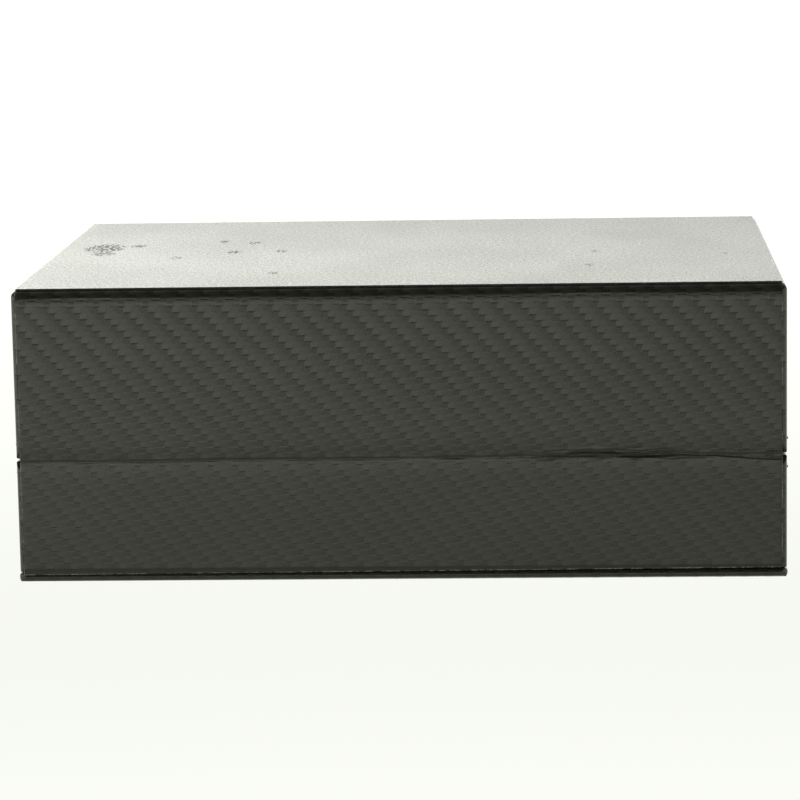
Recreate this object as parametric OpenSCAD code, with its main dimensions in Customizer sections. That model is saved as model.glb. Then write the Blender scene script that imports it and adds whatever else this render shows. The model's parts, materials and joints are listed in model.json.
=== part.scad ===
// Watch box: a hinged leatherette box with a glazed lid and six cushions in a divided base.
// Millimetres. Origin: centre of the underside. -Y faces the closure, +Y the spine, +Z up.

/* [Body] */
// Outer width across the side walls
box_w = 204; // [200:1:230]
// Outer depth from the front face to the face of the spine sheet
box_d = 156; // [152:1:180]
// Height of the base from the table to its rim
base_h = 45.6; // [45:0.2:52]
// Height of the lid from its rim to its top
lid_h = 32.5; // [31:0.1:38]
// Gap between the two rims when the lid is shut
rim_gap = 0.6; // [0.5:0.05:0.8]
// Radius of the upright corners
corner_r = 1.6; // [1.2:0.1:1.8]
// Radius along the bottom edges of the base
foot_r = 2.2; // [1.8:0.1:2.4]
// Radius along the rims and under the top frame
rim_r = 0.5; // [0.4:0.1:1.4]

/* [Walls] */
// Thickness of the fibreboard walls
board_t = 4.2; // [4:0.1:5]
// Thickness of the base's floor board and of the lid's top board
floor_t = 3; // [2.6:0.1:3.4]
// Thickness of the leatherette
skin_t = 0.8; // [0.7:0.05:0.9]
// Thickness of the velvet lining on its card
lining_t = 1; // [0.8:0.1:1.2]
// Thickness of the sheet under the base
sheet_t = 0.4; // [0.3:0.05:0.5]
// How far that sheet stays inside the outer faces
sheet_inset = 1.4; // [1.2:0.1:2]
// Width of the leatherette turned in under the base and over the lid
turn_in = 14; // [12:0.5:15]
// Depth of the leatherette turned down inside the rims
rim_band = 3; // [2:0.5:4]
// Strip of wrap left showing at each side of the spine sheet
spine_inset = 1.2; // [0.8:0.1:2]

/* [Lid top] */
// Thickness of the wrapped top frame
frame_t = 2.5; // [2.4:0.1:3]
// How far the top frame stands out past the walls
frame_lip = 0.2; // [0.1:0.1:0.4]
// Width of the top frame round the window
border_w = 20; // [19:0.5:26]
// Bevel along the window's edge
window_bevel = 1.5; // [1:0.1:2]
// Thickness of the glass
glass_t = 2; // [1.5:0.1:2.4]
// Width of glass held behind the frame on each side
glass_rest = 3.7; // [3:0.1:3.8]

/* [Interior] */
// Thickness of the dividers
divider_t = 2.4; // [2:0.2:3]
// Height of the dividers above the lining
divider_h = 33; // [26:1:35]
// Width of a cushion, across the box
cushion_w = 57; // [50:1:58]
// Length of a cushion, front to back
cushion_l = 63; // [56:1:64]
// Height of a cushion
cushion_h = 37; // [30:1:37]
// Rounding of a cushion's edges
cushion_r = 10; // [6:1:14]

/* [Hinges] */
// Distance of each hinge from the middle of the box
hinge_x = 62; // [56:1:70]
// Length of a hinge along its pin
hinge_w = 32; // [24:1:36]
// Radius of the knuckles
barrel_r = 1.5; // [1.4:0.05:1.55]
// Radius of the pins
pin_r = 0.7; // [0.6:0.05:0.8]
// Depth of the hinge axis in from the face of the spine sheet
axis_in = 2.6; // [2.5:0.05:2.8]
// Slope of the relief cut along the back of both rims
relief_angle = 55; // [54:1:58]

/* [Lock] */
// Width of the lock plate and of the striker plate
plate_w = 24; // [22:1:28]
// Radius of the push button
button_r = 4; // [3.5:0.1:4]
// How far the button stands out of the lock plate
button_out = 1.9; // [1.7:0.1:2.4]
// Travel of the button
button_travel = 1.6; // [1.4:0.1:1.6]

/* [Hidden] */
$fn = 64;

// Lock metalwork, measured back from the front face of the base
plate_t = 0.9;
head_back = 0.6;
bridge_front = 3.1;
bridge_t = 0.6;
tongue_front = 2.6;
tongue_t = 1.2;
finger_front = 4.7;
finger_t = 1.2;
lip_front = 2.9;
case_front = 0.1;
case_back = 8.4;
case_half_w = 7;
case_wall = 0.7;
case_drop = 16.1;
stem_r = 1.5;
head_gap = 0.06;
tongue_half_w = 4;
tongue_slack = 0.3;
window_half_w = 2.4;
finger_half_w = 2.5;
lip_half_w = 2;
button_chamfer = 0.5;
button_dish = 0.3;
button_rim = 1.6;
wire_r = 0.25;
coil_r = [2, 3.5];
coil_turns = 2.5;
rivet_r = 0.6;
rivet_len = 3.2;
rivet_head_r = 1.1;
rivet_head_t = 0.35;
rivet_inset = 3;
plate_corner_r = 1.5;

// Stations along Y: the box is centred with the button's travel counted in
button_proud = plate_t + button_out;
y_front = (button_proud - box_d) / 2;
y_back = y_front + box_d;
y_wrap_back = y_back - skin_t;
y_core = [y_front + skin_t, y_wrap_back - skin_t];
y_inner = [y_core[0] + board_t, y_core[1] - board_t];
y_lined = [y_inner[0] + lining_t, y_inner[1] - lining_t];
y_mid = (y_lined[0] + y_lined[1]) / 2;

// Stations along X, measured from the middle
x_out = box_w / 2;
x_core = x_out - skin_t;
x_inner = x_core - board_t;
x_lined = x_inner - lining_t;
x_spine = x_out - spine_inset;

// Stations along Z
z_core = sheet_t + skin_t;
z_floor = z_core + floor_t;
z_lined = z_floor + lining_t;
z_base_core = base_h - skin_t;
z_base_band = base_h - rim_band;
z_lid = base_h + rim_gap;
z_lid_core = z_lid + skin_t;
z_lid_band = z_lid + rim_band;
z_top = z_lid + lid_h;
z_frame = z_top - frame_t;
z_lid_core_top = z_frame - skin_t;
z_ceiling = z_lid_core_top - floor_t;
retainer_t = 1.2;
z_retainer = z_ceiling - retainer_t;

// Hinge axis, and the spine sheet's stop on each side of it
y_axis = y_back - axis_in;
z_axis = base_h + rim_gap / 2;
spine_stop = 3.8;
foot_inner_r = foot_r - skin_t;

// Window and glass
window_x = x_out - border_w;
window_y = [y_front + border_w, y_back - border_w];
pane_gap = 0.3;

// Dividers and cushions
slot_w = (2 * x_lined - 2 * divider_t) / 3;
slot_l = (y_lined[1] - y_lined[0] - divider_t) / 2;
cross_x = (slot_w + divider_t) / 2;
pitch_x = slot_w + divider_t;
pitch_y = slot_l + divider_t;
cushion_lift = 0.3;

// Hinge leaves, measured from the hinge axis
knuckles = 5;
knuckle_gap = 0.15;
knuckle_w = (hinge_w - (knuckles - 1) * knuckle_gap) / knuckles;
leaf_t = 0.8;
leaf_drop = 13;
leaf_y = y_lined[1] - y_axis;
strap_z = [z_base_core - z_axis, z_base_core + 0.7 - z_axis];
strap_end = -(barrel_r + 0.4);
pin_gap = 0.05;
mortise_r = barrel_r + 0.25;
mortise_slack = 0.2;
screw_r = 1;
screw_head_r = 1.9;
screw_head_t = 0.7;
screw_len = 5;
screw_pitch = 11;
screw_drop = 8.4;
slot_half_w = 0.25;
slot_depth = 0.35;
past = 1;

// Lock stations along Z
lock_z = base_h - 11.1;
tongue_low = base_h - 7.2;
window_low = base_h - 6;
window_high = base_h - 4;
lip_low = base_h - 5.6;
lip_high = base_h - 4.4;
finger_high = base_h - 3;
case_low = base_h - case_drop;
plate_low = base_h - 17.2;
plate_high = base_h - 0.6;
striker_high = z_lid + 12;
rivet_x = plate_w / 2 - 2.3;

// Colours
carbon = [0.17, 0.18, 0.16];
board = [0.66, 0.52, 0.36];
pale = [0.8, 0.8, 0.77];
velvet = [0.1, 0.1, 0.11];
suede = [0.2, 0.2, 0.21];
steel = [0.72, 0.73, 0.75];
clear = [0.75, 0.85, 0.88, 0.35];

// Box between two opposite corners
module block(lo, hi) {
    translate(lo) cube(hi - lo);
}

// Rectangle with a radius for each corner, anticlockwise from the low corner
module soft_rect(lo, hi, r) {
    polygon([
        [lo.x + r[0], lo.y], [hi.x - r[1], lo.y], [hi.x, lo.y + r[1]], [hi.x, hi.y - r[2]],
        [hi.x - r[2], hi.y], [lo.x + r[3], hi.y], [lo.x, hi.y - r[3]], [lo.x, lo.y + r[0]]
    ]);
    translate([lo.x + r[0], lo.y + r[0]]) circle(r[0]);
    translate([hi.x - r[1], lo.y + r[1]]) circle(r[1]);
    translate([hi.x - r[2], hi.y - r[2]]) circle(r[2]);
    translate([lo.x + r[3], hi.y - r[3]]) circle(r[3]);
}

// Extrusion along X of a profile drawn in Y and Z
module along_x(x0, x1) {
    translate([x0, 0, 0]) rotate([90, 0, 90]) linear_extrude(x1 - x0) children();
}

// Extrusion along Y of a profile drawn in X and Z
module along_y(y0, y1) {
    translate([0, y1, 0]) rotate([90, 0, 0]) linear_extrude(y1 - y0) children();
}

// Block with round edges: r_up for its uprights, r_low and r_high for its bottom and top edges
module soft_block(lo, hi, r_up, r_low, r_high) {
    edges = [r_low, r_low, r_high, r_high];
    intersection() {
        translate([0, 0, lo.z]) linear_extrude(hi.z - lo.z)
            soft_rect([lo.x, lo.y], [hi.x, hi.y], [r_up, r_up, r_up, r_up]);
        along_y(lo.y, hi.y) soft_rect([lo.x, lo.z], [hi.x, hi.z], edges);
        along_x(lo.x, hi.x) soft_rect([lo.y, lo.z], [hi.y, hi.z], edges);
    }
}

// Cylinder along X between two stations, centred on the hinge axis
module axis_rod(x0, x1, r) {
    translate([x0, y_axis, z_axis]) rotate([0, 90, 0]) cylinder(r = r, h = x1 - x0);
}

// Cylinder along Y, centred at x and z
module rod_y(x, z, y0, y1, r) {
    translate([x, y0, z]) rotate([-90, 0, 0]) cylinder(r = r, h = y1 - y0);
}

// Turns a shape of the base over about the hinge axis, to give the lid's
module turned_over() {
    translate([0, 0, z_axis]) mirror([0, 0, 1]) translate([0, 0, -z_axis]) children();
}

// Wedge cut along the back of the base's rim, sunk by the given depth
module relief(sink) {
    run = [cos(relief_angle), -sin(relief_angle)];
    start = -sink * [sin(relief_angle), cos(relief_angle)];
    reach = 2 * spine_stop;
    along_x(-x_out - past, x_out + past) translate([y_axis, z_axis])
        polygon([start + reach * run, start - reach / 2 * run, [reach, reach / 2]]);
}

// Recess in the base for one hinge: the strap over the rim, and the barrel
module hinge_recess(side) {
    half = hinge_w / 2 + mortise_slack;
    block(
        [side * hinge_x - half, y_lined[1] - past, z_base_core],
        [side * hinge_x + half, y_back, z_axis]
    );
    axis_rod(side * hinge_x - half, side * hinge_x + half, mortise_r);
}

module hinge_recesses() {
    hinge_recess(-1);
    hinge_recess(1);
}

// One countersunk screw of the base leaf, with its slot cut when it is a real screw
module hinge_screw(x, slotted) {
    face = y_axis + leaf_y - leaf_t;
    difference() {
        union() {
            translate([x, face, z_axis - screw_drop]) rotate([-90, 0, 0])
                cylinder(r1 = screw_head_r, r2 = screw_r, h = screw_head_t);
            rod_y(x, z_axis - screw_drop, face + screw_head_t, face + screw_len, screw_r);
        }
        if (slotted)
            block(
                [x - slot_half_w, face - past, z_axis - screw_drop - screw_head_r],
                [x + slot_half_w, face + slot_depth, z_axis - screw_drop + screw_head_r]
            );
    }
}

// The screws of both base leaves
module hinge_screw_set(slotted) {
    for (side = [-1, 1])
        for (step = [-1, 0, 1])
            hinge_screw(side * hinge_x + step * screw_pitch, slotted);
}

// One leaf of the base's shape: plate on the lining, strap over the rim, and its knuckles
module hinge_leaf(side, ids, bore_r) {
    left = side * hinge_x - hinge_w / 2;
    plate_y = [y_axis + leaf_y - leaf_t, y_axis + leaf_y];
    strap = [z_axis + strap_z[0], z_axis + strap_z[1]];
    difference() {
        union() {
            block([left, plate_y[0], z_axis - leaf_drop], [left + hinge_w, plate_y[1], strap[1]]);
            block([left, plate_y[0], strap[0]], [left + hinge_w, y_axis + strap_end, strap[1]]);
            for (i = ids) {
                at = left + i * (knuckle_w + knuckle_gap);
                block([at, y_axis + strap_end, strap[0]], [at + knuckle_w, y_axis, strap[1]]);
                axis_rod(at, at + knuckle_w, barrel_r);
            }
        }
        axis_rod(left - past, left + hinge_w + past, bore_r);
        hinge_screw_set(false);
    }
}

module hinge_pin(side) {
    color(steel) axis_rod(side * hinge_x - hinge_w / 2, side * hinge_x + hinge_w / 2, pin_r);
}

// Space in the base's front wall for the lock case
module lock_mortise() {
    block([-case_half_w, y_front - past, case_low], [case_half_w, y_front + case_back, z_base_core]);
}

// Slot that the striker's tongue drops through, with the given room round it
module tongue_slot(slack, z0, z1) {
    block(
        [-tongue_half_w - slack, y_front + tongue_front - slack, z0],
        [tongue_half_w + slack, y_front + tongue_front + tongue_t + slack, z1]
    );
}

// Rivets through a plate on the front, at one height
module rivet_pair(z) {
    for (side = [-1, 1]) {
        rod_y(side * rivet_x, z, y_front - plate_t, y_front + rivet_len, rivet_r);
        rod_y(side * rivet_x, z, y_front - plate_t - rivet_head_t, y_front - plate_t, rivet_head_r);
    }
}

module lock_rivet_set() {
    rivet_pair(plate_low + rivet_inset);
    rivet_pair(plate_high - rivet_inset);
}

module striker_rivet_set() {
    rivet_pair(striker_high - 1.5 * rivet_inset);
}

// Stamped plate on the front face between two heights
module front_plate(z0, z1) {
    r = plate_corner_r;
    along_y(y_front - plate_t, y_front)
        soft_rect([-plate_w / 2, z0], [plate_w / 2, z1], [r, r, r, r]);
}

// Space that the base's boards fill below the inner leatherette band, its back bottom edge eased
module base_core_block(top) {
    ease = foot_inner_r;
    along_x(-x_core, x_core)
        polygon([
            [y_core[0], z_core], [y_core[1] - ease, z_core], [y_core[1], z_core + ease],
            [y_core[1], top], [y_core[0], top]
        ]);
}

// Ring between two rectangles, each given by half its width and by its Y span
module ring(x_big, y_big, x_small, y_small, z0, z1) {
    difference() {
        block([-x_big, y_big[0], z0], [x_big, y_big[1], z1]);
        block([-x_small, y_small[0], z0 - past], [x_small, y_small[1], z1 + past]);
    }
}

module base_floor_board() {
    color(board) base_core_block(z_floor);
}

module base_front_board() {
    color(board) difference() {
        block([-x_inner, y_core[0], z_floor], [x_inner, y_inner[0], z_base_core]);
        lock_mortise();
        lock_rivet_set();
    }
}

module base_back_board() {
    color(board) difference() {
        block([-x_inner, y_inner[1], z_floor], [x_inner, y_core[1], z_base_core]);
        relief(skin_t);
        hinge_recesses();
        hinge_screw_set(false);
    }
}

module base_side_board(side) {
    color(board) difference() {
        translate([side * (x_core + x_inner) / 2, 0, 0])
            block([-board_t / 2, y_core[0], z_floor], [board_t / 2, y_core[1], z_base_core]);
        relief(skin_t);
    }
}

module base_wrap() {
    color(carbon) difference() {
        soft_block([-x_out, y_front, sheet_t], [x_out, y_wrap_back, base_h], corner_r, foot_r, rim_r);
        base_core_block(z_base_band);
        ring(x_core, y_core, x_inner, y_inner, z_base_band, z_base_core);
        block([-x_lined, y_lined[0], z_core], [x_lined, y_lined[1], base_h + past]);
        block([-x_out + turn_in, y_front + turn_in, 0], [x_out - turn_in, y_wrap_back - turn_in, z_floor]);
        spine_base_profile(x_out + past);
        relief(0);
        hinge_recesses();
        hinge_screw_set(false);
        lock_mortise();
        lock_rivet_set();
        tongue_slot(tongue_slack, z_base_core, base_h + past);
    }
}

module infill_card() {
    color(board) block(
        [-x_out + turn_in, y_front + turn_in, sheet_t],
        [x_out - turn_in, y_wrap_back - turn_in, z_core]
    );
}

module underside_sheet() {
    color(pale) block(
        [-x_out + sheet_inset, y_front + sheet_inset, 0],
        [x_out - sheet_inset, y_back - sheet_inset, sheet_t]
    );
}

// Spine sheet on the base: up the back, and curled in under the bottom edge
module spine_base_profile(half_w) {
    curl = [y_back - foot_r, sheet_t + foot_r];
    block([-half_w, y_wrap_back, curl[1]], [half_w, y_back, z_axis - spine_stop]);
    intersection() {
        along_x(-half_w, half_w) translate(curl) difference() {
            circle(foot_r);
            circle(foot_inner_r);
        }
        block([-half_w, curl[0], 0], [half_w, y_back + past, curl[1]]);
    }
}

module spine_base() {
    color(carbon) spine_base_profile(x_spine);
}

module base_lining() {
    color(velvet) difference() {
        block([-x_inner, y_inner[0], z_floor], [x_inner, y_inner[1], z_base_band]);
        block([-x_lined, y_lined[0], z_lined], [x_lined, y_lined[1], base_h]);
        hinge_screw_set(false);
        lock_mortise();
    }
}

module long_divider() {
    color(velvet) difference() {
        along_x(-x_lined, x_lined) soft_rect(
            [y_mid - divider_t / 2, z_lined], [y_mid + divider_t / 2, z_lined + divider_h], [0.2, 0.2, 1, 1]
        );
        for (side = [-1, 1])
            translate([side * cross_x, 0, 0]) block(
                [-divider_t / 2, y_mid - divider_t, z_lined + divider_h / 2],
                [divider_t / 2, y_mid + divider_t, z_lined + divider_h + past]
            );
    }
}

module cross_divider(side) {
    color(velvet) translate([side * cross_x, 0, 0]) difference() {
        along_y(y_lined[0], y_lined[1]) soft_rect(
            [-divider_t / 2, z_lined], [divider_t / 2, z_lined + divider_h], [0.2, 0.2, 1, 1]
        );
        block(
            [-divider_t, y_mid - divider_t / 2, 0],
            [divider_t, y_mid + divider_t / 2, z_lined + divider_h / 2]
        );
    }
}

module hinge_base_leaf(side) {
    color(steel) hinge_leaf(side, [0, 2, 4], pin_r);
}

module hinge_base_screws() {
    color(steel) hinge_screw_set(true);
}

module lock_plate() {
    color(steel) difference() {
        front_plate(plate_low, plate_high);
        rod_y(0, lock_z, y_front - plate_t - past, y_front + past, button_r + head_gap);
        lock_rivet_set();
    }
}

module lock_rivets() {
    color(steel) lock_rivet_set();
}

// Open-fronted case with a bridge that guides the stem, and a slot for the striker's tongue
module lock_case() {
    half = case_half_w - case_wall;
    inner_low = case_low + case_wall;
    color(steel) difference() {
        block(
            [-case_half_w, y_front + case_front, case_low],
            [case_half_w, y_front + case_back, z_base_core]
        );
        difference() {
            block(
                [-half, y_front, inner_low],
                [half, y_front + case_back - case_wall, z_base_core - case_wall]
            );
            block(
                [-half, y_front + bridge_front, inner_low],
                [half, y_front + bridge_front + bridge_t, tongue_low - bridge_t]
            );
        }
        rod_y(0, lock_z, y_front, y_front + bridge_front + 2 * bridge_t, stem_r + head_gap);
        tongue_slot(2 * tongue_slack, z_base_core - past, z_base_core + past);
    }
}

// Coil round the stem between the button's head and the bridge; its cone lies flat when pressed
module button_spring() {
    steps = 20;
    sides = 8;
    rings = coil_turns * steps;
    rise = bridge_front - head_back - 2 * wire_r;
    points = [
        for (i = [0:rings])
            for (k = [0:sides - 1])
                let (
                    turn = 360 * i / steps,
                    out = 360 * k / sides,
                    r = coil_r[0] + (coil_r[1] - coil_r[0]) * i / rings + wire_r * cos(out)
                )
                [r * cos(turn), r * sin(turn), rise * i / rings + wire_r * sin(out)]
    ];
    skin = [
        for (i = [0:rings - 1])
            for (k = [0:sides - 1])
                let (a = i * sides + k, b = i * sides + (k + 1) % sides)
                [a, a + sides, b + sides, b]
    ];
    ends = [[for (k = [0:sides - 1]) k], [for (k = [sides - 1:-1:0]) rings * sides + k]];
    color(steel) translate([0, y_front + head_back + wire_r, lock_z]) rotate([-90, 0, 0])
        polyhedron(points, concat(skin, ends));
}

module push_button() {
    face = y_front - button_proud;
    color(steel) difference() {
        union() {
            rod_y(0, lock_z, face + button_chamfer, y_front + head_back, button_r);
            translate([0, face, lock_z]) rotate([-90, 0, 0])
                cylinder(r1 = button_r - button_chamfer, r2 = button_r, h = button_chamfer);
            rod_y(0, lock_z, y_front + head_back, y_front + finger_front, stem_r);
        }
        rod_y(0, lock_z, face - past, face + button_dish, button_r - button_rim);
    }
}

// Finger that rises behind the striker's tongue, with the lip that holds it
module button_catch() {
    color(steel) {
        block(
            [-finger_half_w, y_front + finger_front, lock_z - stem_r],
            [finger_half_w, y_front + finger_front + finger_t, finger_high]
        );
        block(
            [-lip_half_w, y_front + lip_front, lip_low],
            [lip_half_w, y_front + finger_front, lip_high]
        );
    }
}

module lid_top_board() {
    color(board) ring(
        x_core, y_core, window_x + glass_rest + pane_gap,
        [window_y[0] - glass_rest - pane_gap, window_y[1] + glass_rest + pane_gap],
        z_ceiling, z_lid_core_top
    );
}

module lid_front_board() {
    color(board) difference() {
        block([-x_inner, y_core[0], z_lid_core], [x_inner, y_inner[0], z_ceiling]);
        striker_rivet_set();
    }
}

module lid_back_board() {
    color(board) difference() {
        block([-x_inner, y_inner[1], z_lid_core], [x_inner, y_core[1], z_ceiling]);
        turned_over() {
            relief(skin_t);
            hinge_recesses();
            hinge_screw_set(false);
        }
    }
}

module lid_side_board(side) {
    color(board) difference() {
        translate([side * (x_core + x_inner) / 2, 0, 0])
            block([-board_t / 2, y_core[0], z_lid_core], [board_t / 2, y_core[1], z_ceiling]);
        turned_over() relief(skin_t);
    }
}

module lid_wrap() {
    color(carbon) difference() {
        soft_block([-x_out, y_front, z_lid], [x_out, y_wrap_back, z_frame], corner_r, rim_r, rim_r);
        block([-x_core, y_core[0], z_lid_band], [x_core, y_core[1], z_lid_core_top]);
        ring(x_core, y_core, x_inner, y_inner, z_lid_core, z_lid_band);
        block([-x_lined, y_lined[0], z_lid - past], [x_lined, y_lined[1], z_lid_core_top]);
        block(
            [-x_out + turn_in, y_front + turn_in, z_ceiling],
            [x_out - turn_in, y_wrap_back - turn_in, z_top]
        );
        turned_over() {
            relief(0);
            hinge_recesses();
            hinge_screw_set(false);
        }
        striker_rivet_set();
        block(
            [-tongue_half_w, y_front - past, z_lid - past],
            [tongue_half_w, y_front + tongue_front + tongue_t, z_lid_core]
        );
    }
}

module spine_lid() {
    color(carbon) block([-x_spine, y_wrap_back, z_axis + spine_stop], [x_spine, y_back, z_frame - 0.1]);
}

// Section of the window between two stations, opening out at the top by the bevel
module window_profile(span) {
    low = z_frame - past;
    bevel_low = z_top - window_bevel;
    polygon([
        [span[0], low], [span[1], low], [span[1], bevel_low], [span[1] + window_bevel, z_top],
        [span[1] + window_bevel, z_top + past], [span[0] - window_bevel, z_top + past],
        [span[0] - window_bevel, z_top], [span[0], bevel_low]
    ]);
}

// Wrapped board round the window: round outer edges, and a bevel along the window
module top_frame() {
    edge_r = frame_t / 2 - 0.05;
    color(carbon) difference() {
        soft_block(
            [-x_out - frame_lip, y_front - frame_lip, z_frame],
            [x_out + frame_lip, y_back - 0.1, z_top],
            corner_r + 0.6, edge_r, edge_r
        );
        intersection() {
            along_y(y_front, y_back) window_profile([-window_x, window_x]);
            along_x(-x_out, x_out) window_profile(window_y);
        }
    }
}

module glass_pane() {
    color(clear) block(
        [-window_x - glass_rest, window_y[0] - glass_rest, z_frame - glass_t],
        [window_x + glass_rest, window_y[1] + glass_rest, z_frame]
    );
}

// Frame glued under the top board, with a step up that carries the glass
module glass_retainer() {
    color(velvet) {
        ring(x_inner, y_inner, window_x, window_y, z_retainer, z_ceiling);
        ring(
            window_x + glass_rest, [window_y[0] - glass_rest, window_y[1] + glass_rest],
            window_x, window_y, z_ceiling, z_frame - glass_t
        );
    }
}

module lid_lining() {
    color(velvet) difference() {
        ring(x_inner, y_inner, x_lined, y_lined, z_lid_band, z_retainer);
        turned_over() hinge_screw_set(false);
    }
}

module hinge_lid_leaf(side) {
    color(steel) turned_over() hinge_leaf(side, [1, 3], pin_r + pin_gap);
}

module hinge_lid_screws() {
    color(steel) turned_over() hinge_screw_set(true);
}

// Plate on the lid's front, folded in under the rim and down into a tongue with a window
module striker() {
    tongue_y = [y_front + tongue_front, y_front + tongue_front + tongue_t];
    low = z_lid + 0.1;
    color(steel) difference() {
        union() {
            front_plate(low, striker_high);
            block([-tongue_half_w, y_front - plate_t, low], [tongue_half_w, tongue_y[1], z_lid_core]);
            block([-tongue_half_w, tongue_y[0], tongue_low], [tongue_half_w, tongue_y[1], z_lid_core]);
        }
        block(
            [-window_half_w, tongue_y[0] - past, window_low],
            [window_half_w, tongue_y[1] + past, window_high]
        );
        striker_rivet_set();
    }
}

module striker_rivets() {
    color(steel) striker_rivet_set();
}

// Cushion in a column from -1 to 1, in the front row (0) or the back row (1)
module cushion(column, row) {
    color(suede) translate([column * pitch_x, y_mid + (row - 0.5) * pitch_y, z_lined + cushion_lift])
        soft_block(
            [-cushion_w / 2, -cushion_l / 2, 0], [cushion_w / 2, cushion_l / 2, cushion_h],
            cushion_r - 1, cushion_r, cushion_r - 0.5
        );
}

base_floor_board();
base_front_board();
base_back_board();
base_side_board(-1);  // base_left_board
base_side_board(1);  // base_right_board
base_wrap();
infill_card();
underside_sheet();
spine_base();
base_lining();
long_divider();
cross_divider(-1);  // cross_divider_left
cross_divider(1);  // cross_divider_right
hinge_base_leaf(-1);  // hinge_base_leaf_left
hinge_base_leaf(1);  // hinge_base_leaf_right
hinge_pin(-1);  // hinge_pin_left
hinge_pin(1);  // hinge_pin_right
hinge_base_screws();
lock_plate();
lock_rivets();
lock_case();
button_spring();
push_button();
button_catch();
lid_top_board();
lid_front_board();
lid_back_board();
lid_side_board(-1);  // lid_left_board
lid_side_board(1);  // lid_right_board
lid_wrap();
spine_lid();
top_frame();
glass_pane();
glass_retainer();
lid_lining();
hinge_lid_leaf(-1);  // hinge_lid_leaf_left
hinge_lid_leaf(1);  // hinge_lid_leaf_right
hinge_lid_screws();
striker();
striker_rivets();
cushion(-1, 0);  // cushion_1
cushion(0, 0);  // cushion_2
cushion(1, 0);  // cushion_3
cushion(-1, 1);  // cushion_4
cushion(0, 1);  // cushion_5
cushion(1, 1);  // cushion_6
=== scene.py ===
"""Looks of a watch box in twill leatherette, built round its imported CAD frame.

Metres, in the row frame: +X to the right seen from the closure, +Y towards the spine, +Z up.
The camera looks at the spine from slightly under the box and is turned half over,
because the box is shown lying on its lid.
"""

import json
import math

import bmesh
import bpy
import numpy as np
from mathutils import Matrix, Vector, noise
from mathutils.bvhtree import BVHTree


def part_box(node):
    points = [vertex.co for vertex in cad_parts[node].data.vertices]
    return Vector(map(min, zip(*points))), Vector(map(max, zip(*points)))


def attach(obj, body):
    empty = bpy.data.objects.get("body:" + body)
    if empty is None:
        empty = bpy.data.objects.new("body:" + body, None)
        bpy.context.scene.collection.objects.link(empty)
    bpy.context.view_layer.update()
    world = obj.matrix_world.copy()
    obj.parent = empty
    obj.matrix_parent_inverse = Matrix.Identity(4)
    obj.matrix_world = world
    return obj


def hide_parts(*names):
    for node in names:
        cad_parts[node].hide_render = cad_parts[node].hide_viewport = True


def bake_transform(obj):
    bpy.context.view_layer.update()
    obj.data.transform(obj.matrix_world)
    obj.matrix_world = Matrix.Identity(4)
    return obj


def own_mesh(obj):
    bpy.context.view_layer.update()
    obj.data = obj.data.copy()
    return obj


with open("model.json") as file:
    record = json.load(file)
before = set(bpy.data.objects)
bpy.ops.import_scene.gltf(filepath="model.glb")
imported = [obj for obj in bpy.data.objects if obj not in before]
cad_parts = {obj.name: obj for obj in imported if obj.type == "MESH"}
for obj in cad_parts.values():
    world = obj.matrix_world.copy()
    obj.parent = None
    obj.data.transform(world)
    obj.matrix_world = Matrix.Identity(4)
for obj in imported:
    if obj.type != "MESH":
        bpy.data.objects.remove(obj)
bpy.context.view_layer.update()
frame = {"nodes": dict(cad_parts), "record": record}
NODES = frame["nodes"]
MM = 0.001

# The box's stations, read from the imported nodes, in millimetres
SPINE_BASE = [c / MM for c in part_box("spine_base")]
BASE_WRAP = [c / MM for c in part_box("base_wrap")]
LID_WRAP = [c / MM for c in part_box("lid_wrap")]
LOCK_PLATE = [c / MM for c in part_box("lock_plate")]
GAP_Z = (BASE_WRAP[1].z + LID_WRAP[0].z) / 2
TOW = 1.64  # width of one tow of the twill
SEED = 11
HALF_W = SPINE_BASE[1].x
CREASE_Z = (46.34, 45.45)  # height of the crease at -X and at +X
PINCH_START = (30.0, 46.0)  # X between which the crease's wrinkles set in
EDGE_Z = (76.8, 75.95)  # height of the sheet's top edge at -X and at +X


# ---------------------------------------------------------------- shader arithmetic
MIX_FIRST, MIX_SECOND, MIX_RESULT = 6, 7, 2  # the colour sockets of a Mix node


class Val:
    """A value in a shader tree, so that a pattern is written as arithmetic."""

    def __init__(self, tree, socket):
        self.tree = tree
        self.socket = socket

    def op(self, name, *others):
        node = self.tree.nodes.new("ShaderNodeMath")
        node.operation = name
        for slot, value in zip(node.inputs, (self, *others)):
            if isinstance(value, Val):
                self.tree.links.new(value.socket, slot)
            else:
                slot.default_value = value
        return Val(self.tree, node.outputs[0])

    def __add__(self, other):
        return self.op("ADD", other)

    def __sub__(self, other):
        return self.op("SUBTRACT", other)

    def __mul__(self, other):
        return self.op("MULTIPLY", other)

    def __truediv__(self, other):
        return self.op("DIVIDE", other)

    def over(self, limit):
        return self.op("GREATER_THAN", limit)

    def floor(self):
        return self.op("FLOOR")

    def size(self):
        return self.op("ABSOLUTE")

    def sign(self):
        return self.op("SIGN")

    def power(self, exponent):
        return self.op("POWER", exponent)

    def wrap(self, period):
        return self.op("FLOORED_MODULO", period)

    def inverse(self):
        return self * -1 + 1

    def pick(self, chosen, other):
        """chosen where this is 1, other where it is 0."""
        return self * chosen + self.inverse() * other

    def ramp(self, start, end, low=0.0, high=1.0):
        """Smooth step from low at start to high at end."""
        node = self.tree.nodes.new("ShaderNodeMapRange")
        node.interpolation_type = "SMOOTHSTEP"
        self.tree.links.new(self.socket, node.inputs["Value"])
        for name, value in (
            ("From Min", start),
            ("From Max", end),
            ("To Min", low),
            ("To Max", high),
        ):
            node.inputs[name].default_value = value
        return Val(self.tree, node.outputs[0])


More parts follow.
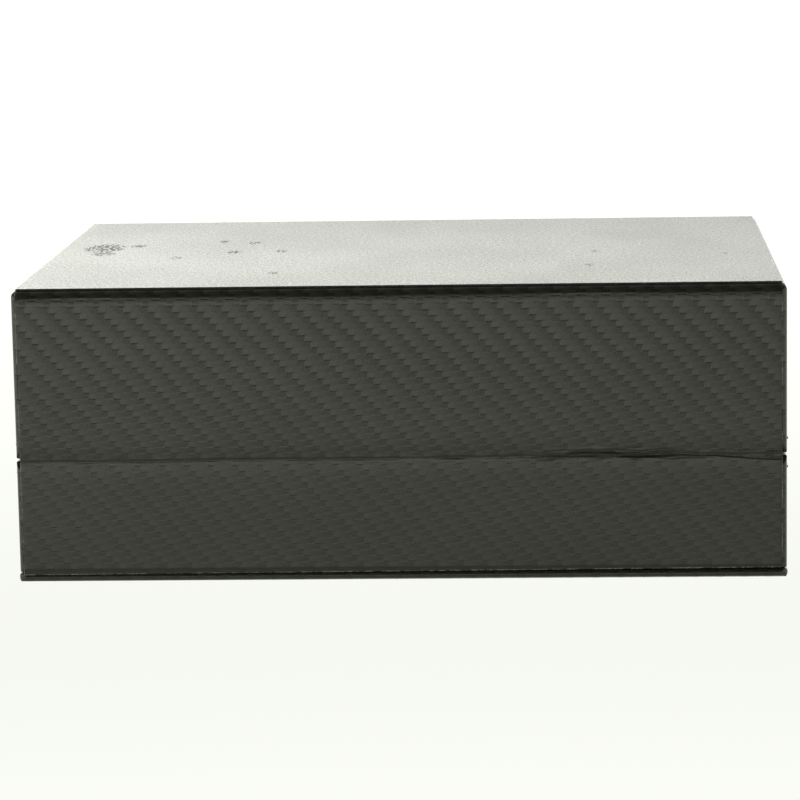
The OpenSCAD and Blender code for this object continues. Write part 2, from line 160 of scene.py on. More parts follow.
class Nodes:
    """A node tree being filled, for a material or for the world."""

    def __init__(self, tree):
        self.tree = tree
        self.coordinates = self.node("ShaderNodeTexCoord")

    def node(self, kind, **settings):
        made = self.tree.nodes.new(kind)
        for name, value in settings.items():
            setattr(made, name, value)
        return made

    def link(self, source, slot):
        self.tree.links.new(source.socket if isinstance(source, Val) else source, slot)

    def axes(self, kind, scale=1.0):
        """The three parts of one kind of texture coordinate."""
        split = self.node("ShaderNodeSeparateXYZ")
        self.link(self.coordinates.outputs[kind], split.inputs[0])
        return [Val(self.tree, out) * scale for out in split.outputs]


class Paint(Nodes):
    """A material being made: a principled shader, and the nodes that drive it."""

    def __init__(self, name, **sockets):
        self.material = bpy.data.materials.new(name)
        self.material.use_nodes = True
        self.material.node_tree.nodes.clear()
        super().__init__(self.material.node_tree)
        self.shader = self.node("ShaderNodeBsdfPrincipled")
        self.link(self.shader.outputs[0], self.node("ShaderNodeOutputMaterial").inputs[0])
        for socket, value in sockets.items():
            self.shader.inputs[socket.replace("_", " ")].default_value = value

    def place(self):
        """X, Y and Z of the point on the piece at rest, in millimetres."""
        return self.axes("Object", 1 / MM)

    def facing(self):
        return self.axes("Normal")

    def vector(self, x, y, z=0.0):
        join = self.node("ShaderNodeCombineXYZ")
        for value, slot in zip((x, y, z), join.inputs):
            if isinstance(value, Val):
                self.link(value, slot)
            else:
                slot.default_value = value
        return join.outputs[0]

    def noise(self, vector, scale, detail=2.0, roughness=0.5):
        made = self.node("ShaderNodeTexNoise")
        self.link(vector, made.inputs["Vector"])
        made.inputs["Scale"].default_value = scale
        made.inputs["Detail"].default_value = detail
        made.inputs["Roughness"].default_value = roughness
        return Val(self.tree, made.outputs[0])

    def mix(self, amount, first, second):
        """first where amount is 0, second where it is 1; each is a colour or a socket."""
        made = self.node("ShaderNodeMix", data_type="RGBA")
        for source, index in ((first, MIX_FIRST), (second, MIX_SECOND)):
            if isinstance(source, tuple):
                made.inputs[index].default_value = (*source, 1.0)
            else:
                self.link(source, made.inputs[index])
        self.link(amount, made.inputs[0])
        return made.outputs[MIX_RESULT]

    def shade(self, colour, factor):
        """The colour made lighter or darker by a value."""
        grey = self.node("ShaderNodeCombineXYZ")
        for slot in grey.inputs:
            self.link(factor, slot)
        made = self.node("ShaderNodeMix", data_type="RGBA", blend_type="MULTIPLY")
        made.inputs[0].default_value = 1.0
        self.link(colour, made.inputs[MIX_FIRST])
        self.link(grey.outputs[0], made.inputs[MIX_SECOND])
        return made.outputs[MIX_RESULT]

    def finish(self, colour, roughness=None, height=None, depth=0.1):
        """Connects what is given; depth is the relief in millimetres of a height of 1."""
        self.link(colour, self.shader.inputs["Base Color"])
        if roughness is not None:
            self.link(roughness, self.shader.inputs["Roughness"])
        if height is not None:
            bump = self.node("ShaderNodeBump")
            bump.inputs["Distance"].default_value = depth * MM
            self.link(height, bump.inputs["Height"])
            self.link(bump.outputs[0], self.shader.inputs["Normal"])
        return self.material


# ---------------------------------------------------------------- materials
TWILL_REPEAT = 4.0  # tows from one float of a row to its next


def twill(u, v):
    """Height, painted light and painted shadow lines of an embossed 2/2 twill.

    u and v count tows to the right and up. Every row has a sunk cell, then a raised one that
    fades away along the float, and the sunk cell starts with a short dark step. The next row
    repeats the pattern one tow further on. The second value paints a highlight on the raised
    cells and shade in the sunk ones, and the third paints a shadow line at each dark step.
    """
    row = v.floor()
    rise = v - row
    across = ((u + row) * -1.0).wrap(TWILL_REPEAT)
    sunk = across.ramp(1.04, 1.2, 1.0, 0.0).op("MAXIMUM", across.ramp(3.3, 4.0, 0.0, 0.9))
    raised = across.ramp(1.06, 1.22) * across.ramp(2.1, 2.4, 1.0, 0.0)
    # painted highlight on the raised cells, fading along the float
    painted_highlight = across.ramp(1.06, 1.22) * across.ramp(2.1, 3.6, 1.0, 0.0)
    slope = rise.op("MINIMUM", rise * -5.0 + 5.0)
    height = slope * (raised * 0.55 - sunk * 0.34)
    # painted shadow: a short dark line where each sunk cell starts
    ends = across.ramp(0.0, 0.15) * across.ramp(0.95, 1.1, 1.0, 0.0)
    ends = ends * rise.ramp(0.07, 0.17, 1.0, 0.0)
    # colour: painted highlight on the raised cells less painted shade in the sunk ones, the shade
    # stronger low in each row
    return height, painted_highlight - sunk * (rise * -0.45 + 1.0), ends


def crease_painted_shade(paint, u, v):
    """Painted shade in the wrinkles of the hinge crease: dark streaks, strongest where the sheet
    is pinched, and a patchy dark line along the fold.

    u runs towards -X and v up the sheet, in millimetres.
    """
    lean = (CREASE_Z[0] - CREASE_Z[1]) / (2 * HALF_W)
    off = v - u * lean - (CREASE_Z[0] + CREASE_Z[1]) / 2
    x = u * -1.0
    pinched = x.ramp(*PINCH_START) * x.ramp(70.0, 80.0, 1.0, 0.35)
    near = (off + 0.35).size().ramp(0.5, 1.3, 1.0, 0.0)
    line = off.size().ramp(0.1, 0.45, 1.0, 0.0)
    streak = paint.noise(paint.vector(u * 0.22, v * 2.1), 1.0, 4.0, 0.6)
    patchy = paint.noise(paint.vector(u * 0.05, 7.0), 1.0, 3.0, 0.6).ramp(0.4, 0.6, 0.0, 0.5)
    return (near * streak.ramp(0.46, 0.54) * pinched * 0.9).op("MAXIMUM", line * patchy * 0.6)


def leatherette(name, on_sheet):
    """Embossed twill vinyl, laid out by the spine sheet's own coordinates or by each face's."""
    paint = Paint(name, Specular_IOR_Level=0.5, Specular_Tint=(0.98, 1.0, 0.90, 1.0))
    if on_sheet:
        u, v, _ = paint.axes("UV")
    else:
        x, y, z = paint.place()
        nx, ny, nz = paint.facing()
        level = nz.size().over(0.72)
        side = nx.size().over(ny.size())
        u = level.pick(x, side.pick(nx.sign() * y, ny.sign() * x * -1.0))
        v = level.pick(y, z)
    flat = paint.vector(u, v)
    sway = (paint.noise(flat, 0.05, 1.0) - 0.5) * 1.2
    # the twill gives relief, a painted highlight and shade for the colour, and painted shadow lines
    # at the float ends
    height, weave_painted_light, ends = twill((u + sway) / TOW, (v + sway * 0.5) / TOW)
    patch = paint.noise(flat, 0.16, 3.0)
    grain = paint.noise(flat, 2.6, 3.0, 0.6)
    fleck = paint.noise(flat, 0.9, 2.0)
    tint = paint.mix(
        patch.ramp(0.35, 0.65), (0.0140, 0.0160, 0.0098), (0.0160, 0.0160, 0.0106)
    )
    # dark is painted shadow: the lines at the float ends
    dark = ends * 0.45
    if on_sheet:
        # the emboss and its painted light fade from the foot toward the lid
        pressed = v.ramp(5.0, 60.0, 1.08, 0.4)
        height, weave_painted_light = height * pressed, weave_painted_light * (pressed * 0.6 + 0.4)
        # on the spine sheet the crease's painted shade darkens the colour too
        dark = (dark * pressed).op("MAXIMUM", crease_painted_shade(paint, u, v))
    # the colour takes the weave's painted light and random flecks and grain, then the painted
    # shadow
    shade = weave_painted_light * 0.32 + (fleck - 0.5) * 0.35 + (grain - 0.5) * 0.3 + 0.93
    colour = paint.shade(tint, shade * dark.inverse())
    rough = grain * 0.10 + patch * 0.08 + dark * 0.3 + 0.15
    relief = height + (grain - 0.5) * 0.10 + (fleck - 0.5) * 0.12 + dark * -0.3
    return paint.finish(colour, rough, relief, 0.075)


def vinyl_edge_and_highlight():
    """Cut edge of the leatherette, where its pale cloth backing shows, and painted highlight under
    the foot.
    """
    paint = Paint("vinyl_cut_edge_and_highlight")
    x, y, z = paint.place()
    weave = paint.noise(paint.vector(x, y, z), 0.9, 3.0)
    bare = paint.noise(paint.vector(x * 0.35, 0.0, z * 0.1), 1.0, 4.0, 0.7)
    cloth = paint.mix(weave.ramp(0.3, 0.7), (0.10, 0.10, 0.085), (0.24, 0.235, 0.205))
    colour = paint.mix(bare.ramp(0.42, 0.56), (0.02, 0.02, 0.017), cloth)
    return paint.finish(colour, weave * 0.2 + 0.7, weave, 0.05)


# Scuffs on the underside sheet: X, Y, half length and half width, in millimetres, and strength
SCUFFS = [
    (-88.6, -11.0, 5.6, 9.5, 1.0),
    (-87.5, 3.0, 3.2, 4.5, 0.9),
    (-79.5, -15.5, 2.2, 3.6, 0.9),
    (-65.4, 13.9, 1.6, 3.0, 0.8),
    (-55.6, -23.5, 1.5, 3.4, 0.9),
    (-50.0, 1.5, 2.2, 3.4, 0.9),
    (-46.2, -20.0, 1.8, 3.2, 0.9),
    (-36.6, 0.5, 1.6, 3.6, 0.9),
    (-34.6, 50.0, 1.6, 2.2, 0.8),
    (52.7, 8.7, 1.3, 2.6, 0.8),
    (50.8, 40.0, 1.2, 2.0, 0.7),
    (88.2, 16.7, 1.0, 2.4, 0.7),
    (46.8, -75.0, 1.2, 1.6, 0.6),
]


def underside():
    """Fine-grained pale sheet with rubbed spots, painted shade a little darker to the front; dark
    cut edge.
    """
    paint = Paint("underside_sheet", Specular_IOR_Level=0.4)
    x, y, z = paint.place()
    _, _, nz = paint.facing()
    grain = paint.noise(paint.vector(x * 2.6, y * 0.5, z), 1.0, 4.0, 0.7)
    pores = paint.noise(paint.vector(x, y, z), 0.9, 3.0, 0.6)
    cloud = paint.noise(paint.vector(x, y * 0.6), 0.03, 2.0)
    torn = paint.noise(paint.vector(x * 1.1, y * 0.30), 1.0, 4.0, 0.7)
    rubbed = None
    for sx, sy, rx, ry, strength in SCUFFS:
        dx, dy = (x - sx) / rx, (y - sy) / ry
        near = (dx * dx + dy * dy).power(0.5)
        spot = (near + (torn - 0.5) * 2.0).ramp(0.75, 1.05, strength, 0.0)
        rubbed = spot if rubbed is None else rubbed.op("MAXIMUM", spot)
    rubbed = rubbed * torn.ramp(0.48, 0.51, 1.0, 0.0)
    pale = paint.mix(cloud.ramp(0.35, 0.65), (0.510, 0.520, 0.482), (0.560, 0.565, 0.528))
    # painted shade: the sheet darker towards the front
    front_painted_shade = y.ramp(-75.0, 45.0, 0.87, 1.0)
    speckled = paint.shade(pale, (grain * 2.3 + pores * 1.2 - 0.73) * front_painted_shade)
    worn = paint.mix(rubbed, speckled, (0.060, 0.060, 0.055))
    edged = paint.mix(nz.size().ramp(0.4, 0.7), (0.004, 0.004, 0.004), worn)
    rough = grain * 0.25 + 0.42
    return paint.finish(edged, rough, grain + pores * 0.5 + rubbed * -0.5, 0.09)


def velvet(name, dark, light, pile=2.5):
    """Short pile with a sheen, brushed this way and that."""
    paint = Paint(
        name,
        Specular_IOR_Level=0.2,
        Sheen_Weight=0.45,
        Sheen_Roughness=0.35,
        Sheen_Tint=(0.75, 0.76, 0.80, 1.0),
    )
    at = paint.vector(*paint.place())
    brushed = paint.noise(at, 0.07, 3.0, 0.6)
    fibre = paint.noise(at, pile, 4.0, 0.65)
    amount = brushed.ramp(0.3, 0.7, 0.0, 0.55) + fibre.ramp(0.3, 0.7, 0.0, 0.45)
    colour = paint.mix(amount, dark, light)
    rough = fibre * 0.15 + 0.82
    return paint.finish(colour, rough, fibre + brushed * 0.6, 0.16)


def fibreboard(name, dark, light):
    """Pressed fibres, with a streak along the board."""
    paint = Paint(name)
    x, y, z = paint.place()
    flecks = paint.noise(paint.vector(x, y, z), 1.6, 4.0, 0.7)
    streaks = paint.noise(paint.vector(x * 0.15, y, z), 0.8, 2.0)
    amount = flecks.ramp(0.3, 0.7, 0.0, 0.7) + streaks.ramp(0.35, 0.65, 0.0, 0.3)
    rough = flecks * 0.2 + 0.72
    return paint.finish(paint.mix(amount, dark, light), rough, flecks, 0.08)


def window_glass():
    """Clear float glass, with the faintest smears on it."""
    paint = Paint("window_glass", Transmission_Weight=1.0, IOR=1.5)
    at = paint.vector(*paint.place())
    smear = paint.noise(at, 0.05, 4.0, 0.6)
    tint = paint.mix(smear, (0.93, 0.97, 0.955), (0.965, 0.985, 0.98))
    return paint.finish(tint, smear.ramp(0.55, 0.8, 0.0, 0.06))


def metal(name, dark, light, rough_low, rough_high, stretch):
    """Plated metal with hairlines along X, and cloudy patches in its gloss."""
    paint = Paint(name, Metallic=1.0)
    x, y, z = paint.place()
    hair = paint.noise(paint.vector(x * stretch, y, z), 6.0, 3.0, 0.6)
    cloud = paint.noise(paint.vector(x, y, z), 0.25, 3.0)
    colour = paint.mix(cloud.ramp(0.3, 0.7), dark, light)
    spread = (hair * 0.6 + cloud * 0.4).ramp(0.3, 0.7, rough_low, rough_high)
    return paint.finish(colour, spread, hair, 0.006)


def thread():
    """Black sewing thread, twisted."""
    paint = Paint("black_thread", Roughness=0.6, Sheen_Weight=0.2)
    x, y, z = paint.place()
    ply = ((x + y + z * 2.0) * 9.0).op("SINE") * 0.5 + 0.5
    colour = paint.mix(ply, (0.004, 0.004, 0.004), (0.016, 0.016, 0.015))
    return paint.finish(colour, None, ply, 0.06)


BLACK = (0.0075, 0.0075, 0.0085)
BLACK_PILE = (0.020, 0.020, 0.023)
carbon = leatherette("carbon_leatherette", on_sheet=False)
carbon_sheet = leatherette("carbon_leatherette_spine", on_sheet=True)
edge_and_curl_highlight = vinyl_edge_and_highlight()
pale_sheet = underside()
lining = velvet("velvet_lining", BLACK, BLACK_PILE)
cushion_cloth = velvet("cushion_velvet", (0.045, 0.046, 0.050), (0.085, 0.086, 0.092), 3.0)
seam_cord = velvet("cushion_piping", (0.035, 0.036, 0.040), (0.065, 0.066, 0.072), 5.0)
mdf = fibreboard("fibreboard", (0.30, 0.20, 0.115), (0.52, 0.39, 0.25))
card = fibreboard("card", (0.27, 0.25, 0.21), (0.40, 0.37, 0.32))
glass = window_glass()
chrome = metal("polished_metal", (0.38, 0.38, 0.385), (0.45, 0.45, 0.445), 0.16, 0.28, 0.3)
plated = metal("plated_steel", (0.50, 0.50, 0.48), (0.64, 0.63, 0.61), 0.26, 0.48, 0.12)
sewing = thread()

SLOT_MATERIAL = {
    "carbon_leatherette": carbon,
    "underside_sheet": pale_sheet,
    "fibreboard": mdf,
    "card": card,
    "velvet_lining": lining,
    "cushion_velvet": cushion_cloth,
    "window_glass": glass,
    "polished_metal": chrome,
    "plated_steel": plated,
}
for part in frame["record"]["subparts"]:
    node = NODES[part["node"]]
    node.data.materials.clear()
    node.data.materials.append(SLOT_MATERIAL[part["material_slot"]])


# ---------------------------------------------------------------- mesh helpers
def add_piece(name, points, faces, material):
    """A smooth-shaded mesh object from points in millimetres."""
    mesh = bpy.data.meshes.new(name)
    mesh.from_pydata([tuple(c * MM for c in p) for p in points], [], faces)
    mesh.materials.append(material)
    mesh.shade_smooth()
    return add_object(name, mesh)


def tidy_normals(piece, weld=None):
    """Turns the faces outward, after joining points that are closer than weld."""
    bm = bmesh.new()
    bm.from_mesh(piece.data)
    if weld is not None:
        bmesh.ops.remove_doubles(bm, verts=bm.verts, dist=weld)
    bmesh.ops.recalc_face_normals(bm, faces=bm.faces)
    bm.to_mesh(piece.data)
    bm.free()


def add_object(name, data):
    made = bpy.data.objects.new(name, data)
    bpy.context.scene.collection.objects.link(made)
    return made


def smooth_step(value, start, end):
    t = min(1.0, max(0.0, (value - start) / (end - start)))
    return t * t * (3 - 2 * t)


# ---------------------------------------------------------------- the spine sheet
SKIN = 0.8  # thickness of the sheet
Y_FACE = SPINE_BASE[1].y
Z_FOOT = SPINE_BASE[0].z
FOOT_R = 2.2  # radius of the curl under the foot
LEAD_IN = 0.24  # how far the face leans in toward the foot's curl
LEAD_END = 0.6  # height above the foot where the lean is complete
LEAD_TOP = 4.6  # height where that lean begins
EDGE_STRIP = 0.22  # width of the pale line along the sheet's cut edges
EDGE_DROP = 0.15  # how far the side edges are pressed in
TOP_DROP = 0.18  # how far the top edge is pressed in
SHEET_COLUMNS = 200


def skewed(ends, x):
    """Height at x of a line that runs from ends[0] at -X to ends[1] at +X."""
    return ends[0] + (ends[1] - ends[0]) * (x + HALF_W) / (2 * HALF_W)


def foot_lean(z):
    """How far the outer face is in from Y_FACE at height z."""
    return LEAD_IN * (1 - smooth_step(z, Z_FOOT + LEAD_END, LEAD_TOP))


def crease_sink(x, z):
    """How far the sheet sinks into the gap between the rims, and its wrinkles there."""
    off = z - skewed(CREASE_Z, x)
    pull = smooth_step(x, *PINCH_START) * (1 - 0.6 * smooth_step(x, 71, 80))
    near = math.exp(-((off / 0.34) ** 2))
    groove = near * (0.06 + 0.08 * pull + 0.05 * noise.noise((x * 0.11, 3.0, SEED)))
    band = math.exp(-(((off + 0.3 * pull) / (0.6 + 0.5 * pull)) ** 2))
    fold = noise.noise((x * 0.085 + 0.3 * off, off * 1.3, SEED))
    fold += 0.5 * noise.noise((x * 0.23, off * 2.4, SEED + 4.0))
    branch_off = off - 1.3 * smooth_step(x, 78, 101)
    branch = math.exp(-((branch_off / 0.3) ** 2)) * smooth_step(x, 76, 90)
    wide = math.exp(-((off / 2.6) ** 2))
    return groove + band * fold * (0.05 + 0.40 * pull) + 0.12 * branch + 0.06 * wide


def spine_rows():
    """Stations up the sheet: angles round the foot, heights, then distances from the top edge."""
    turn = [("turn", a) for a in np.linspace(-90, -6, 9)]
    foot = [("up", z) for z in np.arange(Z_FOOT + FOOT_R, LEAD_TOP + 0.5, 0.35)]
    low = [("up", z) for z in np.arange(foot[-1][1] + 1.0, 42.0, 1.5)]
    middle = [("up", z) for z in np.arange(42.6, 49.4, 0.2)]
    high = [("up", z) for z in np.arange(49.4, 75.0, 1.5)]
    return turn + foot + low + middle + high + [("top", -EDGE_STRIP), ("top", 0.0)]


def sheet_point(x, row, inner):
    """The sheet's point at x in a row, on its outer or its inner face."""
    kind, at = row
    radius = FOOT_R - (SKIN if inner else 0.0)
    if kind == "turn":
        a = math.radians(at)
        z = Z_FOOT + FOOT_R + radius * math.sin(a)
        y = Y_FACE - FOOT_R + radius * math.cos(a) - (0.0 if inner else foot_lean(z))
        return (x, y, z)
    z = skewed(EDGE_Z, x) + at if kind == "top" else at
    face = Y_FACE - crease_sink(x, z) - foot_lean(z)
    lumps = 0.05 * noise.noise((x * 0.03, z * 0.05, SEED + 9.0))
    rounding = TOP_DROP if row == ("top", 0.0) else 0.0
    return (x, Y_FACE - SKIN if inner else face + lumps - rounding, z)


def build_spine():
    """The sheet as one closed piece, with its flat coordinates, its pale cut edges and a painted
    highlight under the foot.
    """
    rows = spine_rows()
    columns = [-HALF_W, -HALF_W + EDGE_STRIP]
    columns += list(np.linspace(-HALF_W + 1.0, HALF_W - 1.0, SHEET_COLUMNS))
    columns += [HALF_W - EDGE_STRIP, HALF_W]
    count = len(columns)
    layer = len(rows) * count
    points, flat = [], []
    for inner in (False, True):
        for row in rows:
            kind, at = row
            run = math.radians(at) * FOOT_R + Z_FOOT + FOOT_R if kind == "turn" else at
            for x in columns:
                px, py, pz = sheet_point(x, row, inner)
                if not inner and abs(x) == HALF_W:
                    py -= EDGE_DROP
                points.append((px, py, pz))
                flat.append((-x, skewed(EDGE_Z, x) + at if kind == "top" else run))
    faces, edge = [], []
    for r in range(len(rows) - 1):
        for c in range(count - 1):
            a = r * count + c
            b = a + layer
            faces.append((a + 1, a, a + count, a + count + 1))
            faces.append((b, b + 1, b + count + 1, b + count))
        for c in (0, count - 1):
            a, b = r * count + c, (r + 1) * count + c
            side = (a, a + layer, b + layer, b)
            edge.append(side if c == 0 else side[::-1])
    for c in range(count - 1):
        a = (len(rows) - 1) * count + c
        edge.append((a + 1, a, a + layer, a + layer + 1))
        edge.append((c, c + 1, c + 1 + layer, c + layer))
    made = add_piece("spine_sheet", points, faces + edge, carbon_sheet)
    made.data.materials.append(edge_and_curl_highlight)
    for index, polygon in enumerate(made.data.polygons):
        # the even faces are the outer ones, row by row, and the cut edges come last
        row, column = divmod(index // 2, count - 1)
        outer = index % 2 == 0
        # rows 0 and 1 are the bottom of the curl under the foot: their outer faces take the pale
        # edge material as a painted highlight
        border = column in (0, count - 2) or row in (0, 1, len(rows) - 2)
        if index >= len(faces) or (outer and border):
            polygon.material_index = 1
            polygon.use_smooth = False
    rest = made.data.uv_layers.new(name="sheet_mm")
    for loop in made.data.loops:
        rest.data[loop.index].uv = flat[loop.vertex_index]
    return made


spine = build_spine()
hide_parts("spine_base", "spine_lid")
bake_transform(spine)


# ---------------------------------------------------------------- stitching
STITCH_LENGTH = 3.1
STITCH_PITCH = 4.1
STITCH_R = 0.46
STITCH_DIP = 0.42  # how far a stitch's ends go in
STITCH_OFF_GAP = 3.8
STITCH_OFF_SPINE = 1.5
STITCH_OFF_LOCK = 1.5
STITCH_OFF_CORNER = 3.0
STITCH_RINGS = [(0.0, 0.0), (0.12, 0.75), (0.5, 1.0), (0.88, 0.75), (1.0, 0.0)]
STITCH_SIDES = 8


def stitch_row(start, end, out):
    """Stitches from start to end, standing half out of a face whose outward direction is out."""
    run = end - start
    count = int(run.length // STITCH_PITCH)
    ahead = run.normalized()
    across = ahead.cross(out)
    points, faces = [], []
    for k in range(count):
        wander = noise.noise((k * 0.7, start.z, SEED)) * 0.12
        centre = start + run * ((k + 0.5) / count) + across * wander
        first = len(points)
        for share, swell in STITCH_RINGS:
            along = ahead * ((share - 0.5) * STITCH_LENGTH)
            dip = out * (-STITCH_DIP * (abs(2 * share - 1) ** 2.5))
            for s in range(STITCH_SIDES):
                a = 2 * math.pi * s / STITCH_SIDES
                ring = across * math.cos(a) + out * math.sin(a)
                points.append(centre + along + dip + ring * STITCH_R * swell)
        for level in range(len(STITCH_RINGS) - 1):
            low = first + level * STITCH_SIDES
            for s in range(STITCH_SIDES):
                a, b = low + s, low + (s + 1) % STITCH_SIDES
                faces.append((a, b, b + STITCH_SIDES, a + STITCH_SIDES))
    return points, faces


def build_stitching(name, body, z, wrap):
    """One row of stitches round the front and both sides of a half of the box."""
    lo, hi = wrap
    lock = LOCK_PLATE[1].x + STITCH_OFF_LOCK
    front, back = lo.y + STITCH_OFF_CORNER, hi.y - STITCH_OFF_SPINE
    left, right = lo.x + STITCH_OFF_CORNER, hi.x - STITCH_OFF_CORNER
    rows = [
        ((lo.x, back, z), (lo.x, front, z), (-1, 0, 0)),
        ((left, lo.y, z), (-lock, lo.y, z), (0, -1, 0)),
        ((lock, lo.y, z), (right, lo.y, z), (0, -1, 0)),
        ((hi.x, front, z), (hi.x, back, z), (1, 0, 0)),
    ]
    points, faces = [], []
    for row in rows:
        more, their = stitch_row(*(Vector(v) for v in row))
        faces += [tuple(i + len(points) for i in f) for f in their]
        points += more
    made = add_piece(name, points, faces, sewing)
    tidy_normals(made, weld=1e-7)
    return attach(made, body)


build_stitching("stitching_base", "base", GAP_Z - STITCH_OFF_GAP, BASE_WRAP)
build_stitching("stitching_lid", "lid", GAP_Z + STITCH_OFF_GAP, LID_WRAP)


def build_spring():
    """The coil behind the button, copied from its CAD part and fixed to the base."""
    node = NODES["button_spring"]
    mesh = node.data.copy()
    mesh.transform(node.matrix_world)
    made = add_object("spring_coil", mesh)
    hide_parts("button_spring")
    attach(made, "base")
    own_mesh(made)


build_spring()


# ---------------------------------------------------------------- cushions
# Lengths in this part are in metres, apart from PIPE_R
VOXEL = 0.004
PUFF_FRAMES = 20
PUFF_LIMIT = 0.005  # how far the cloth may move
PUFF_START = 0.9  # the start block's share of the cushion's size
PRESSURE = 28.0
ROUND_R = 0.009
CROWN = 0.003
BLOCK_CUTS = 15
MARGIN = Vector((0.0007, 0.0007, 0.0004))  # kept clear inside the CAD box
DENT_SCALE = 45.0
DENT = 0.010
PIPE_R = 0.55
PIPE_STEPS = 96
PIPE_SIDES = 8
PIPE_HEIGHT = 0.62  # share of the half height where a piping runs


def block_mesh(name, half):
    """Closed block with rounded edges and a slight crown, about the origin."""
    bm = bmesh.new()
    bmesh.ops.create_cube(bm, size=2.0)
    bmesh.ops.subdivide_edges(bm, edges=bm.edges[:], cuts=BLOCK_CUTS, use_grid_fill=True)
    for vertex in bm.verts:
        place = Vector(vertex.co[i] * half[i] for i in range(3))
        core = Vector(
            max(ROUND_R - half[i], min(half[i] - ROUND_R, place[i])) for i in range(3)
        )
        out = place - core
        share = (1 - vertex.co.x**2) * (1 - vertex.co.y**2)
        crown = Vector((0.0, 0.0, math.copysign(CROWN * share, vertex.co.z)))
        vertex.co = core + out.normalized() * ROUND_R + crown
    mesh = bpy.data.meshes.new(name)
    bm.to_mesh(mesh)
    bm.free()
    return add_object(name, mesh)


def puffed_points(half):
    """Points and faces of a block blown up by a cloth simulation, about the origin."""
    made = block_mesh("cushion_start", half)
    bpy.context.view_layer.objects.active = made
    made.select_set(True)
    made.data.remesh_voxel_size = VOXEL
    bpy.ops.object.voxel_remesh()
    rest = np.array([v.co for v in made.data.vertices])
    cloth = made.modifiers.new("puff", "CLOTH")
    cloth.settings.use_pressure = True
    cloth.settings.uniform_pressure_force = PRESSURE
    cloth.settings.effector_weights.gravity = 0.0
    cloth.settings.quality = 5
    for step in range(1, PUFF_FRAMES + 1):
        bpy.context.scene.frame_set(step)
    graph = bpy.context.evaluated_depsgraph_get()
    blown = made.evaluated_get(graph)
    now = np.array([v.co for v in blown.data.vertices])
    made.modifiers.clear()
    bpy.context.scene.frame_set(1)
    move = now - rest
    length = np.maximum(np.linalg.norm(move, axis=1, keepdims=True), 1e-9)
    points = rest + move * np.minimum(1.0, PUFF_LIMIT / length)
    faces = [tuple(p.vertices) for p in made.data.polygons]
    bpy.data.objects.remove(made)
    return points, faces


def piping(name, skin, half, z):
    """Cord sewn round a cushion at height z, laid on its skin."""
    track = []
    for k in range(PIPE_STEPS):
        a = 2 * math.pi * k / PIPE_STEPS
        outward = Vector((math.cos(a) * half.x, math.sin(a) * half.y, 0.0))
        origin = outward * 2.0 + Vector((0, 0, z))
        track.append(skin.ray_cast(origin, -outward.normalized(), half.length * 3)[0])
    points, faces = [], []
    total = PIPE_STEPS * PIPE_SIDES
    for k, here in enumerate(track):
        ahead = (track[(k + 1) % PIPE_STEPS] - track[k - 1]).normalized()
        out = ahead.cross(Vector((0, 0, 1))).normalized()
        up = out.cross(ahead)
        for s in range(PIPE_SIDES):
            b = 2 * math.pi * s / PIPE_SIDES
            ring = out * math.cos(b) + up * math.sin(b)
            points.append((here + ring * PIPE_R * MM) / MM)
            i, j = k * PIPE_SIDES + s, k * PIPE_SIDES + (s + 1) % PIPE_SIDES
            faces.append((i, j, (j + PIPE_SIDES) % total, (i + PIPE_SIDES) % total))
    made = add_piece(name, points, faces, seam_cord)
    tidy_normals(made)
    return made


def build_cushions():
    """Six cushions from one blown-up block: turned about, dented and fitted to their CAD boxes."""
    lo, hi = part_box("cushion_1")
    half = (hi - lo) / 2
    shape, faces = puffed_points(half * PUFF_START)
    span = (shape.max(0) - shape.min(0)) / 2
    centre = (shape.max(0) + shape.min(0)) / 2
    shape = (shape - centre) / span * np.array(half - MARGIN)
    for number in range(1, 7):
        name = f"cushion_{number}"
        lo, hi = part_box(name)
        middle = (lo + hi) / 2
        flip = np.array([1 if number % 2 else -1, 1 if number < 4 else -1, 1])
        dents = []
        for p in shape:
            q = Vector(p) * DENT_SCALE
            dent = noise.noise((q.x, q.y, q.z + number * 7.0))
            dent += 0.4 * noise.noise((q.x * 2.3, q.y * 2.3, q.z * 2.3 + number * 3.0))
            dents.append(1.0 - DENT - DENT * dent)
        points = shape * np.array(dents)[:, None] * flip
        skin_faces = [f[::-1] for f in faces] if flip.prod() < 0 else faces
        placed = (points + np.array(middle)) / MM
        made = add_piece(name + "_cover", placed, skin_faces, cushion_cloth)
        division = made.modifiers.new("smooth", "SUBSURF")
        division.levels = division.render_levels = 1
        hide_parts(name)
        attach(made, name)
        tree = BVHTree.FromPolygons([Vector(p) for p in points], skin_faces)
        for label, share in (("low", -PIPE_HEIGHT), ("high", PIPE_HEIGHT)):
            cord = piping(f"{name}_piping_{label}", tree, half, share * half.z)
            cord.data.transform(Matrix.Translation(middle))
            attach(cord, name)


build_cushions()


# ---------------------------------------------------------------- stage, light and camera
FLOOR = 1500.0


def build_floor():
    """Pale floor under the box. It shows from above only, because the camera is under it."""
    material = bpy.data.materials.new("floor")
    corners = [(-FLOOR, -FLOOR, 0), (FLOOR, -FLOOR, 0), (FLOOR, FLOOR, 0), (-FLOOR, FLOOR, 0)]
    made = add_piece("floor", corners, [(0, 1, 2, 3)], material)
    material.use_nodes = True
    tree = material.node_tree
    shader = tree.nodes["Principled BSDF"]
    shader.inputs["Base Color"].default_value = (0.9, 0.9, 0.89, 1.0)
    shader.inputs["Roughness"].default_value = 0.7
    clear = tree.nodes.new("ShaderNodeBsdfTransparent")
    sided = tree.nodes.new("ShaderNodeMixShader")
    side = tree.nodes.new("ShaderNodeNewGeometry")
    tree.links.new(side.outputs["Backfacing"], sided.inputs[0])
    tree.links.new(shader.outputs[0], sided.inputs[1])
    tree.links.new(clear.outputs[0], sided.inputs[2])
    tree.links.new(sided.outputs[0], tree.nodes["Material Output"].inputs[0])
    made.visible_shadow = False
    made.visible_diffuse = False
    made.visible_glossy = False


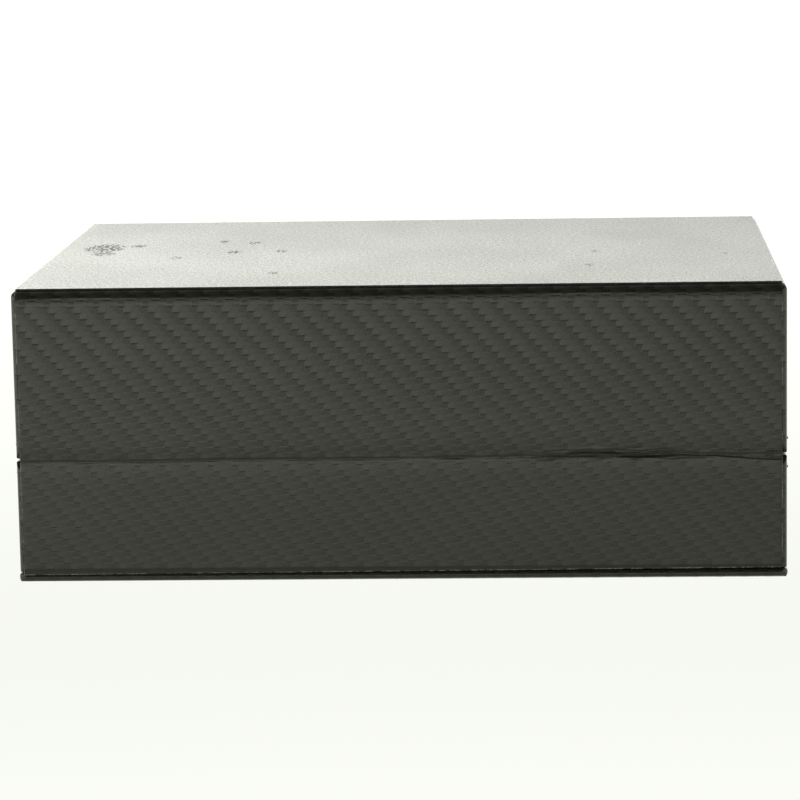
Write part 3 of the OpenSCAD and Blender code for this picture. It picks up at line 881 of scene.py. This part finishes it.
def build_world():
    """White room: bright behind the closure; towards the spine, a glow just over the floor.

    far is the side that the camera looks at, and near is the side that the spine faces.
    """
    world = bpy.data.worlds.new("studio")
    bpy.context.scene.world = world
    world.use_nodes = True
    nodes = Nodes(world.node_tree)
    x, y, z = nodes.axes("Generated")
    far = y.ramp(-0.2, 0.2, 1.0, 0.0)
    near = z.ramp(-0.12, 0.08, 0.03, 1.0) * z.ramp(0.06, 0.24, 2.65, 0.44)
    near = near * x.ramp(-0.25, 0.15, 1.13, 0.80) + z.ramp(0.35, 0.7, 0.0, 0.2)
    above_far = z.ramp(0.10, 0.22, 1.10, 0.94) * z.ramp(0.23, 0.31, 1.0, 1.065)
    above_far = above_far * z.ramp(0.3, 0.8, 1.0, 0.5)
    below_far = z.ramp(-0.42, -0.18, 0.45, 1.75) * x.ramp(-0.6, 0.6, 1.15, 0.88)
    strength = far.pick(z.over(0.0).pick(above_far, below_far), near)
    background = nodes.tree.nodes["Background"]
    background.inputs["Color"].default_value = (0.985, 1.0, 0.945, 1.0)
    nodes.link(strength, background.inputs["Strength"])


def add_softbox(name, place, size, power, mirrored=True):
    """Square soft light at place, aimed at the middle of the box; mirrored if it shows in gloss."""
    light = bpy.data.lights.new(name, "AREA")
    light.size = size
    light.energy = power
    made = add_object(name, light)
    made.location = place
    aim = Vector((0, 0, 0.04)) - Vector(place)
    made.rotation_euler = aim.to_track_quat("-Z", "Y").to_euler()
    made.visible_camera = False
    made.visible_glossy = mirrored
    return made


def build_camera():
    """Long lens behind the box and a little under it, turned half over."""
    data = bpy.data.cameras.new("camera")
    data.sensor_width = 36.0
    data.lens = 155.07
    data.clip_start = 0.01
    data.clip_end = 20.0
    made = add_object("camera", data)
    made.location = (0.04764, 0.97279, -0.11634)
    made.rotation_euler = [math.radians(a) for a in (-99.3114, -1.0006, -2.8569)]
    bpy.context.scene.camera = made


build_floor()
build_world()
add_softbox("softbox_under", (0.0, 0.1, -1.2), 1.0, 6.5, mirrored=False)
add_softbox("softbox_near", (-0.22, 0.0, -0.15), 0.12, 0.24, mirrored=False)
add_softbox("softbox_left", (-0.8, -0.5, -0.8), 0.7, 7.0)
add_softbox("softbox_above", (0.3, -0.5, 0.9), 0.8, 4.0)
build_camera()
bpy.context.scene.view_settings.view_transform = "Standard"
